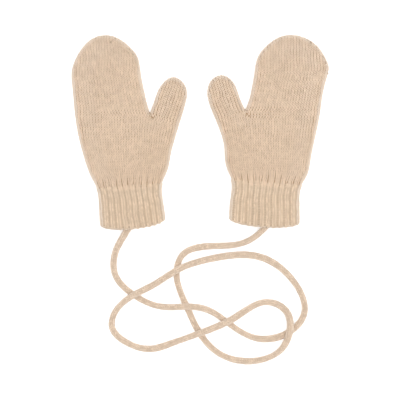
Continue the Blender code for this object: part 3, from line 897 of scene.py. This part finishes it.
    def palm(self):
        """Plan points of the palm's wales, those of the fingers and those of the thumb."""
        outer, inner = self.wrist["outer"], self.wrist["inner"]
        split = outer + (inner - outer) * FINGER_SHARE
        height = (self.crotch[1] + self.root[1] - outer[1] - inner[1]) / 2.0
        courses = int(round(height / STITCH_COURSE))
        finger_part, thumb_part = [], []
        for part in np.arange(courses) / courses:
            outer_level = outer[1] + (self.crotch[1] - outer[1]) * part
            inner_level = inner[1] + (self.root[1] - inner[1]) * part
            start = crossing(self.outer_side, FINGERS_WAY, outer_level)
            end = crossing(self.thumb_outer, FINGERS_WAY, inner_level)
            between = split + (self.crotch - split) * part
            finger_part.append(self.even_row(start, between, FINGER_WALES))
            thumb_part.append(self.even_row(end, between, THUMB_WALES))
        return np.array(finger_part), np.array(thumb_part)

    def stitches(self, grids, layer, gathers=None):
        """Where the stitches of grids of plan points lie on a layer, and how. Gathers, from
        0 to 1, say how far the ribs below draw the cloth in between them."""
        found = []
        for i, plan in enumerate(grids):
            there = np.isfinite(plan[..., 0])
            points, out = np.full((2, *there.shape, 3), np.nan)
            sink = np.full(there.shape, CLOTH_SINK)
            pull = np.zeros(there.shape)
            narrow = np.ones(there.shape)
            if gathers:
                groove, way, fade = gathers[i]
                sink[:len(groove)] += (GATHER_DEPTH + GATHER_RISE) * groove - GATHER_RISE * fade
                narrow[:len(groove)] -= GATHER_NARROWING * groove
                pull[:len(groove)] = GATHER_PULL * way
            points[there], out[there] = self.cloth(plan[there], layer, sink[there][:, None])
            points[there, 0] += self.waver(points[there], out[there])
            along, size = stitch_room(points)
            size[..., 0] *= narrow
            points[there, 0] += pull[there] * np.abs(out[there, 2])
            found.append([values[there] for values in (points, out, along, size)])
        points, out, along, size = (np.vstack(values) for values in zip(*found))
        return points * self.mirror, out * self.mirror, along * self.mirror, size


def gather(courses, wales, first, last):
    """How far each stitch of the palm's courses and wales, which run over this stretch of
    the mitten's width, is drawn in and aside by the grooves of the ribs below it."""
    width = first + (last - first) * (np.arange(wales) + 0.5) / wales
    groove = (0.5 + 0.5 * np.cos(math.tau * RIBS / 2 * width)) ** GATHER_SHARPNESS
    way = -np.sin(math.tau * RIBS / 2 * width)
    fade = 1.0 - ease(np.arange(courses) * STITCH_COURSE / GATHER_REACH)[:, None]
    return fade * groove, fade * way, fade


def under_cloth(name, node, mitten, material):
    """The cloth beneath a node's stitches: the node's own form, sunk in a little all over
    and more by the gathers, but drawn together at the seams, and dented where the cloth is.
    Nothing of it reaches below the table."""
    shape = bmesh.new()
    shape.from_mesh(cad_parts[node].data)
    bmesh.ops.remove_doubles(shape, verts=shape.verts, dist=SAME_POINT)
    bmesh.ops.subdivide_edges(shape, edges=shape.edges, cuts=CLOTH_CUTS, use_grid_fill=True)
    shape.normal_update()
    places = np.array([vertex.co for vertex in shape.verts])
    ways = np.array([vertex.normal for vertex in shape.verts])
    plan = (places * mitten.mirror)[:, :2]
    for spot, across in mitten.seams():
        gap = (plan - spot) @ across
        near = np.abs(gap) < SEAM_REACH
        straight = np.array([across[0] * mitten.side, across[1], 0.0])
        level = ways - (ways @ straight)[:, None] * straight
        on_skin = np.linalg.norm(level, axis=1) > SKIN_LEAST
        level = unit(level) * on_skin[:, None]
        ways = np.where(near[:, None], level, ways)
        places -= np.where(near, gap, 0.0)[:, None] * straight
    spot, across = mitten.seams()[0]
    gathered = 1.0 - ease(np.abs((plan - spot) @ across) / GATHER_REACH)
    places -= ways * (BASE_SINK + GATHER_DEPTH * gathered)[:, None]
    places[:, 2] = np.maximum(places[:, 2], 0.0)
    over = ways[:, 2] * (places[:, 2] > FOLD_RADIUS)
    places[:, 2] -= mitten.dents(plan, 1) * np.where(over > 0.5, 1.0, 0.0)
    for vertex, spot in zip(shape.verts, places):
        vertex.co = spot
    mesh = bpy.data.meshes.new(name)
    shape.to_mesh(mesh)
    shape.free()
    return add_piece(name, mesh, material)


mittens = {
    "left": Mitten(-1.0, LEFT_FINGERS, LEFT_THUMB, LEFT_CREASES),
    "right": Mitten(1.0, RIGHT_FINGERS, RIGHT_THUMB, RIGHT_CREASES),
}
HAND_COLOUR = (228, 204, 179)
HAND_CONTRAST = 19
# The cloth beneath the hands' and thumbs' stitches is painted far darker than the yarn: painted
# shade, for the shadow between the stitches
HAND_PAINTED_SHADE = (170, 140, 110)
hand_yarn = yarn("hand_yarn", HAND_COLOUR, HAND_CONTRAST)
hand_shade_base = yarn("hand_cloth_painted_shade", HAND_PAINTED_SHADE, BASE_CONTRAST, painted_sheen=0.0)
for label, mitten in mittens.items():
    palm_fingers, palm_thumb = mitten.palm()
    bag = mitten.tube(
        mitten.outer_side, mitten.inner_side, FINGERS_WAY, mitten.crotch[1], mitten.fingertip,
        FINGER_WALES)
    cloth = under_cloth(label + "_hand_cloth", label + "_hand", mitten, hand_shade_base)
    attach(cloth, "root")
    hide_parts(label + "_hand")
    for layer_name, layer in (("upper", 1), ("under", -1)):
        gathers = (
            gather(len(palm_fingers), FINGER_WALES, 0.0, FINGER_SHARE),
            gather(len(palm_thumb), THUMB_WALES, 1.0, FINGER_SHARE))
        placed = mitten.stitches((np.vstack((palm_fingers, bag)), palm_thumb), layer, gathers)
        name = label + "_hand_" + layer_name + "_stitches"
        piece = knit(name, *placed, hand_yarn, Seed=21 + layer)
        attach(piece, "root")


# The thumbs: a narrower tube of stocking stitch on each mitten, picked up at the crotch and
# knitted straight to its closed tip.
THUMB_COLOUR = (227, 203, 178)
THUMB_CONTRAST = 16
thumb_yarn = yarn("thumb_yarn", THUMB_COLOUR, THUMB_CONTRAST)
# The thumbs' cloth beneath takes the same painted shade as the hands'
thumb_shade_base = yarn("thumb_cloth_painted_shade", HAND_PAINTED_SHADE, BASE_CONTRAST, painted_sheen=0.0)
for label, mitten in mittens.items():
    way = mitten.thumb_way
    bag = mitten.tube(
        mitten.thumb_inner, mitten.thumb_outer, way, mitten.root @ way, mitten.thumb_tip,
        THUMB_WALES)
    cloth = under_cloth(label + "_thumb_cloth", label + "_thumb", mitten, thumb_shade_base)
    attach(cloth, "root")
    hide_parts(label + "_thumb")
    both_layers = zip(mitten.stitches([bag], 1), mitten.stitches([bag], -1))
    placed = [np.vstack(values) for values in both_layers]
    piece = knit(label + "_thumb_stitches", *placed, thumb_yarn, Seed=31)
    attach(piece, "root")


# The cuffs: a tube of two by one rib on each wrist, 24 ribs round, cast on at the hem. Each
# rib is two knit wales side by side, with one purl wale sunk between it and the next.
CUFF_RADIUS = 0.0031
CUFF_CROWN = 0.0004
CUFF_WALL = 0.0024
SEAM_GAP = 0.0003
HEM_BOWS = {"left": 0.0055, "right": 0.0052}
WRIST_DROP = 0.0004
WRIST_REACH = 0.25

# How the upper layer is lifted over the cord's end, and how far to its sides
CUFF_LIFTED = CORD_CUFF_HEIGHT + CORD_RADIUS + SEAM_GAP + CUFF_WALL
BULGE_FLAT = 0.0036
BULGE_REACH = 0.011

# The ribs: rounder above than below, where they rest, and how they lean and wander
RIB_HEIGHT = 0.0005
RIB_ROUNDNESS = 2.7
RIB_FLATNESS = 6.0
RIB_UNDER = 0.9
RIB_LEANS = {"left": 0.0022, "right": 0.0003}
LEAN_SPREAD = 0.7
UNDER_LEAN = 0.4
RIB_WAVER = 0.12 / RIBS
RIB_WAVER_RISE = 3.0
RIB_CELL = (0.1, 0.22)
RIB_SEED = 19

# The stitches: where the wales stand across a rib, how wide they are and how far they lift
CUFF_COURSES = 16
FIRST_COURSE = 0.3
KNIT_PLACES = (0.30, 0.70)
KNIT_WIDTH = 0.66
KNIT_LIFT = 0.0001
PURL_PLACES = (0.0,)
PURL_WIDTH = 0.75
PURL_LEAN = 1.2
PURL_LENGTH = 0.0020
PURL_LIFT = 0.0007
LIFT_SEED = 17

# The cloth beneath them, which goes on a little above the wrist
CUFF_SINK = 0.0008
RIB_POINTS = 8
CUFF_ROWS = 12
CUFF_REACH = 0.06

# The cast-on edge, one stitch after another round the hem, which is scalloped by the ribs
HEM_STITCHES = 72
HEM_SCALLOP = 0.0008
SCALLOP_RISE = 8
HEM_SINKS = (0.0011, 0.0019)
HEM_OUTWARD = 0.6
HEM_SIZE = (0.6, 0.65, 0.75)


def rib_height(phase, under):
    """How high a rib stands over its middle, across its width from groove to groove."""
    power = np.where(under, RIB_FLATNESS, RIB_ROUNDNESS)
    return RIB_HEIGHT * (1.0 - 2.0 * np.abs(2.0 * phase - 1.0) ** power)


def rib_lean(mitten, bow, lean, plan, upper):
    """How far aside the ribs of a cuff lean at points of the plan: most at the hem's middle."""
    level = plan[:, 1] * -1.0
    outer, inner = (
        np.interp(level, edge[:, 1] * -1.0, edge[:, 0])
        for edge in (mitten.outer_side[::-1], mitten.thumb_outer))
    share = np.clip((outer - plan[:, 0]) / (outer - inner), 0.0, 1.0)
    top = mitten.wrist["outer"][1] + (mitten.wrist["inner"][1] - mitten.wrist["outer"][1]) * share
    hem = mitten.hem["outer"][1] + (mitten.hem["inner"][1] - mitten.hem["outer"][1]) * share
    hem = hem - bow * np.sqrt(1.0 - (2.0 * share - 1.0) ** 2)
    down = np.clip((top - plan[:, 1]) / (top - hem), 0.0, 1.0)
    spread = np.sin(math.pi * share) ** LEAN_SPREAD
    return lean * down * spread * np.where(upper, -1.0, UNDER_LEAN)


def cuff_surface(mitten, bow, lean, ends, around, part, sink):
    """Points on a cuff, so far round and down, both from 0 to 1. It is lifted over the cord
    that lies between the given ends."""
    tops = {key: point[1] - SEAM_GAP for key, point in mitten.wrist.items()}
    level = {key: tops[key] + (mitten.hem[key][1] - tops[key]) * part for key in tops}
    start = crossing(mitten.outer_side, FINGERS_WAY, level["outer"])
    end = crossing(mitten.thumb_outer, FINGERS_WAY, level["inner"])
    width = np.linalg.norm(end - start)
    flat = width - 2.0 * CUFF_RADIUS
    quarter = math.pi * CUFF_RADIUS / 2.0
    half = flat + 2.0 * quarter
    run = (around % 1.0) * 2.0 * half
    side = np.where(run <= half, 1.0, -1.0)
    run = np.where(run <= half, run, 2.0 * half - run)
    left = run < quarter
    right = run > quarter + flat
    turn = np.where(left, run, half - run) / CUFF_RADIUS
    bent = CUFF_RADIUS * (1.0 - np.cos(turn))
    across = np.where(left, bent, np.where(right, width - bent, CUFF_RADIUS + run - quarter))
    high = side * CUFF_RADIUS * np.where(left | right, np.sin(turn), 1.0)
    outward = np.where(left, -np.cos(turn), np.where(right, np.cos(turn), 0.0))
    rise = side * np.where(left | right, np.sin(turn), 1.0)
    rib = rib_height((around * RIBS) % 1.0, high < -CUFF_RADIUS * RIB_UNDER)
    scallop = HEM_SCALLOP * rib / RIB_HEIGHT * part ** SCALLOP_RISE
    rib = rib - sink
    crown = CUFF_CROWN * ease((np.minimum(across, width - across) - CUFF_RADIUS) / CROWN_REACH)
    across = across + outward * rib
    share = np.clip(across / width, 0.0, 1.0)
    plan = start + (end - start) * (across / width)[:, None]
    plan[:, 1] -= bow * part * np.sqrt(1.0 - (2.0 * share - 1.0) ** 2) + scallop
    plan[:, 0] += rib_lean(mitten, bow, lean, plan, high > 0.0)
    height = RIB_HEIGHT + CUFF_RADIUS + high + rise * rib
    drop = WRIST_DROP * (1.0 - ease(part / WRIST_REACH))
    height = height + np.where(high > 0.0, crown * rise - drop, 0.0)
    if ends is None:
        return np.column_stack((plan, height))
    cord_end, cord_hem = ends
    run_in = cord_hem - cord_end
    reach = np.clip((plan - cord_end) @ run_in / (run_in @ run_in), 0.0, 2.0)
    apart = np.linalg.norm(plan - cord_end - run_in * reach[:, None], axis=1)
    over = 1.0 - ease((apart - BULGE_FLAT) / (BULGE_REACH - BULGE_FLAT))
    height = height + np.where(high > 0.0, over * rise * (CUFF_LIFTED + rib - height), 0.0)
    return np.column_stack((plan, height))


def rib_ways(around, part):
    """Places round a cuff, moved by how the ribs wander at this part of the way down it."""
    apart = np.column_stack((around, np.full(len(around), part)))
    wander = soft_noise(apart, RIB_CELL, RIB_SEED)
    return around + RIB_WAVER * ease(part * RIB_WAVER_RISE) * wander


def cuff_cloth(name, mitten, bow, lean, ends, material):
    """The cloth beneath a cuff's stitches: a closed wall, ribbed outside and inside."""
    around = np.arange(RIBS * RIB_POINTS) / (RIBS * RIB_POINTS)
    parts = np.linspace(-CUFF_REACH, 1.0, CUFF_ROWS)
    rings = [
        cuff_surface(mitten, bow, lean, ends, rib_ways(around, part), part, sink)
        for sink, rows in ((CUFF_SINK, parts), (CUFF_WALL - CUFF_SINK, parts[::-1]))
        for part in rows]
    count = len(around)
    points = np.vstack(rings) * mitten.mirror
    faces = []
    for i in range(len(rings)):
        row, below = i * count, (i + 1) % len(rings) * count
        for k in range(count):
            beside = (k + 1) % count
            faces.append((row + k, row + beside, below + beside, below + k))
    return closed_piece(name, points.tolist(), faces, material)


def cuff_stitches(mitten, bow, lean, ends, phases, courses, lift):
    """Where a cuff's stitches lie, in the wales at these places across each rib, and how.
    Each wale wanders a little, and lies up to the lift higher than it would by its rib."""
    around = ((np.arange(RIBS)[:, None] + np.array(phases)) / RIBS).ravel()
    sink = CLOTH_SINK - np.random.default_rng(LIFT_SEED).uniform(0.0, lift, len(around))
    ways = [rib_ways(around, part) for part in courses]
    points, flat, ahead, behind = (
        np.array([
            cuff_surface(mitten, bow, lean, over, way + shift, part, sink)
            for way, part in zip(ways, courses)])
        for shift, over in ((0.0, ends), (0.0, None), (0.5 / RIBS, None), (-0.5 / RIBS, None)))
    along, size = stitch_room(points)
    out = unit(np.cross(unit(ahead - behind), unit(steps(flat, 0))))
    middle = flat.mean(axis=1, keepdims=True)
    facing = np.sign(((flat - middle) * out).sum(2, keepdims=True))
    placed = [values * mitten.mirror for values in (points, out * facing, along)]
    return [values.reshape(-1, 3) for values in (*placed, size)]


def like_stitches(name, mitten, points, out, along, size, material, seed):
    """A piece of stitches all of one size, on points given for a mitten on the right."""
    placed = [values * mitten.mirror for values in (points, out, along)]
    sizes = np.tile(size, (len(points), 1))
    return knit(name, *placed, sizes, material, Seed=seed)


CUFF_COLOUR = (225, 203, 178)
CUFF_CONTRAST = 26
# The purl wales and the cloth beneath the cuff's stitches are painted darker than its yarn: painted
# shade, for the shadow in the ribs' grooves and between the stitches
PURL_SHADE_SHIFT = -14
PURL_CONTRAST = 10
CUFF_SHADE_SHIFT = -18
cuff_yarn = yarn("cuff_yarn", CUFF_COLOUR, CUFF_CONTRAST)
purl_yarn_painted_shade = yarn("purl_yarn_painted_shade", shifted(CUFF_COLOUR, PURL_SHADE_SHIFT), PURL_CONTRAST)
cuff_shade_base = yarn("cuff_cloth", shifted(CUFF_COLOUR, CUFF_SHADE_SHIFT), BASE_CONTRAST, painted_sheen=0.0)
for label, mitten in mittens.items():
    bow, lean = HEM_BOWS[label], RIB_LEANS[label]
    ends = [np.array([mitten.side * row[0], row[1]]) for row in CORD_ENDS[label]]
    cloth = cuff_cloth(label + "_cuff_cloth", mitten, bow, lean, ends, cuff_shade_base)
    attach(cloth, "root")
    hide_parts(label + "_cuff")
    courses = (np.arange(-1, CUFF_COURSES) + FIRST_COURSE) / CUFF_COURSES
    placed = cuff_stitches(mitten, bow, lean, ends, KNIT_PLACES, courses, KNIT_LIFT)
    placed[-1][:, 0] = KNIT_WIDTH
    ribs = knit(label + "_cuff_stitches", *placed, cuff_yarn, Seed=41)
    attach(ribs, "root")
    placed = cuff_stitches(mitten, bow, lean, ends, PURL_PLACES, courses, PURL_LIFT)
    placed[-1][:, 0] = PURL_WIDTH
    purls = knit(
        label + "_cuff_purl_stitches", *placed, purl_yarn_painted_shade, Seed=43, Lean=PURL_LEAN,
        Strand_length=PURL_LENGTH)
    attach(purls, "root")
    around = (np.arange(HEM_STITCHES) + 0.5) / HEM_STITCHES
    hem, inner_hem = (
        cuff_surface(mitten, bow, lean, ends, around, 1.0, sink) for sink in HEM_SINKS)
    along = np.roll(hem, -1, axis=0) - np.roll(hem, 1, axis=0)
    out = unit(hem - inner_hem) * HEM_OUTWARD - np.array([0.0, 1.0, 0.0])
    edge = like_stitches(
        label + "_cuff_hem", mitten, hem, out, along, HEM_SIZE, cuff_yarn, seed=45)
    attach(edge, "root")


# The closing seams: a chain of stitches goes round each tip, where its two layers meet. Each
# fingertip, and the right thumb's tip, is also drawn shut with a row of small overcast stitches in
# the same yarn, and its ends are fastened off with tight knots, which are painted far darker than
# the yarn: painted shade at the seam's ends.
RIM_SIZE = (1.45, 0.7, 1.0)
SEAM_LINES = (
    ("left", "fingertip", ((0.0653, 0.0650), (0.0575, 0.0622), (0.0491, 0.0562))),
    ("right", "fingertip", ((0.0810, 0.0650), (0.0869, 0.0599), (0.0925, 0.0515), (0.0940, 0.0450))),
    ("right", "thumb_tip", ((0.0211, 0.0371), (0.0258, 0.0349))),
)
SEAM_SPACING = 0.0016
SEAM_SINK = 0.0001
SEAM_SIZE = (0.55, 0.7, 0.6)
SEAM_KNOTS = (
    ("left", 0.0653, 0.0650),
    ("left", 0.0524, 0.0573),
    ("left", 0.0491, 0.0562),
    ("right", 0.0810, 0.0650),
    ("right", 0.0935, 0.0423),
    ("right", 0.0211, 0.0371),
)
KNOT_SIZE = (0.5, 0.6, 0.4)
KNOT_SINK = -0.0005
KNOT_WAY = (0.3, 1.0, 0.0)
SEAM_SHIFT = -6
# The knots' yarn is darkened by painted shade
KNOT_SHADE_SHIFT = -90
SEAM_CONTRAST = 14
seam_yarn = yarn("seam_yarn", shifted(HAND_COLOUR, SEAM_SHIFT), SEAM_CONTRAST)
knot_yarn_painted_shade = yarn("knot_yarn_painted_shade", shifted(HAND_COLOUR, KNOT_SHADE_SHIFT), SEAM_CONTRAST, painted_sheen=0.0)
for label, mitten in mittens.items():
    for place, slot, tip_yarn in (
            ("fingertip", "hand_knit", hand_yarn), ("thumb_tip", "thumb_knit", thumb_yarn)):
        name = label + "_" + place + "_rim"
        piece = like_stitches(name, mitten, *mitten.rim(place), RIM_SIZE, tip_yarn, seed=57)
        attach(piece, "root")
for label, place, line in SEAM_LINES:
    spots = smooth_curve(line, SEAM_SPACING)[0]
    points, out = mittens[label].cloth(spots, 1, SEAM_SINK)
    across = np.cross(np.gradient(points, axis=0), out)
    name = label + "_" + place + "_seam"
    piece = like_stitches(
        name, mittens[label], points, out, across, SEAM_SIZE, seam_yarn, seed=51)
    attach(piece, "root")
for label, mitten in mittens.items():
    spots = np.array([row[1:] for row in SEAM_KNOTS if row[0] == label])
    points, out = mitten.cloth(spots, 1, KNOT_SINK)
    along = np.tile(KNOT_WAY, (len(points), 1))
    name = label + "_seam_knots"
    piece = like_stitches(name, mitten, points, out, along, KNOT_SIZE, knot_yarn_painted_shade, seed=53)
    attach(piece, "root")


# The tacks: where the cord comes out of each cuff, a few small stitches of the same yarn hold
# the hem's upper layer down on it.
TACK_SIZE = (0.5, 0.6, 0.75)
TACK_TURNS = (-40.0, 35.0)
TACK_PLACES = (-0.0004, 0.0010)
TACK_BACK = 0.0012
TACK_HEIGHT = CUFF_LIFTED - 0.0001
TACK_SHIFT = 8
TACK_CONTRAST = 10
tack_yarn = yarn("tack_yarn", shifted(CUFF_COLOUR, TACK_SHIFT), TACK_CONTRAST)
for label, rows in CORD_ENDS.items():
    inner, hem = (np.array(row[:2]) for row in rows)
    way = unit(hem - inner)
    side = np.array([-way[1], way[0]])
    spots = [hem - way * TACK_BACK + side * shift for shift in TACK_PLACES]
    points = np.array([(*spot, TACK_HEIGHT) for spot in spots])
    turns = np.radians(TACK_TURNS)
    along = np.array([(*(way * math.cos(turn) + side * math.sin(turn)), 0.0) for turn in turns])
    out = np.tile((0.0, 0.0, 1.0), (len(points), 1))
    size = np.tile(TACK_SIZE, (len(points), 1))
    piece = knit(label + "_cord_tacks", points, out, along, size, tack_yarn, Seed=61)
    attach(piece, "root")
